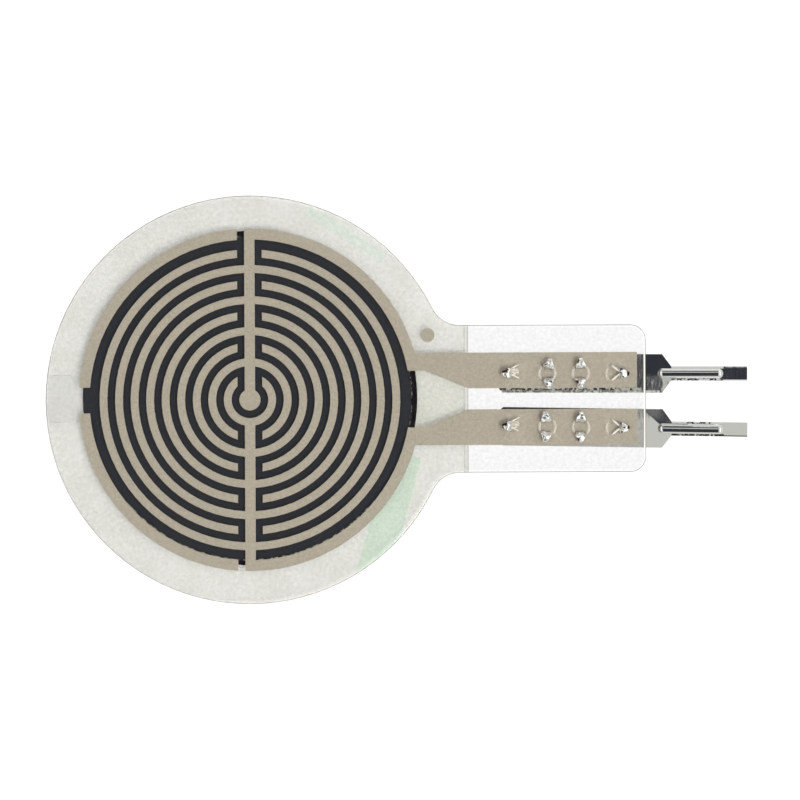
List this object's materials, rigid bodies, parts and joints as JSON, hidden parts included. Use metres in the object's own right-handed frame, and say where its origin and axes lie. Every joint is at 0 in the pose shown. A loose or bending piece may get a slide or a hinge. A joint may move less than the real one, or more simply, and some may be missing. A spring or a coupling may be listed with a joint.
{
  "type": "force sensor",
  "caption": "Round thin-film force sensor: interlocked silver combs over a black resistive disc, a short clear tail and crimped metal solder tails.",
  "frame": {"origin": "centre of the sensing disc on its mounting face, the outer face of the release liner", "axes": "+X along the tail towards the solder tails, +Y across the tail, +Z out of the face with the silver combs"},
  "size_m": [0.0314, 0.0182, 0.0008],
  "materials": {
    "liner_paper": "smooth white release paper",
    "clear_adhesive": "clear pressure-sensitive adhesive",
    "clear_film": "clear glossy polyester film",
    "carbon_ink": "matt black screen-printed carbon ink",
    "silver_ink": "satin grey-beige screen-printed silver ink",
    "tinned_metal": "bright tin plate"
  },
  "bodies": {
    "root": {"release_liner": "liner_paper", "mounting_adhesive": "clear_adhesive", "back_film": "clear_film", "resistive_ink": "carbon_ink", "spacer_adhesive": "clear_adhesive", "upper_electrode": "silver_ink", "lower_electrode": "silver_ink", "upper_border_arc": "silver_ink", "lower_border_arc": "silver_ink", "registration_dot": "silver_ink", "front_film": "clear_film", "upper_terminal": "tinned_metal", "lower_terminal": "tinned_metal"}
  },
  "joints": []
}
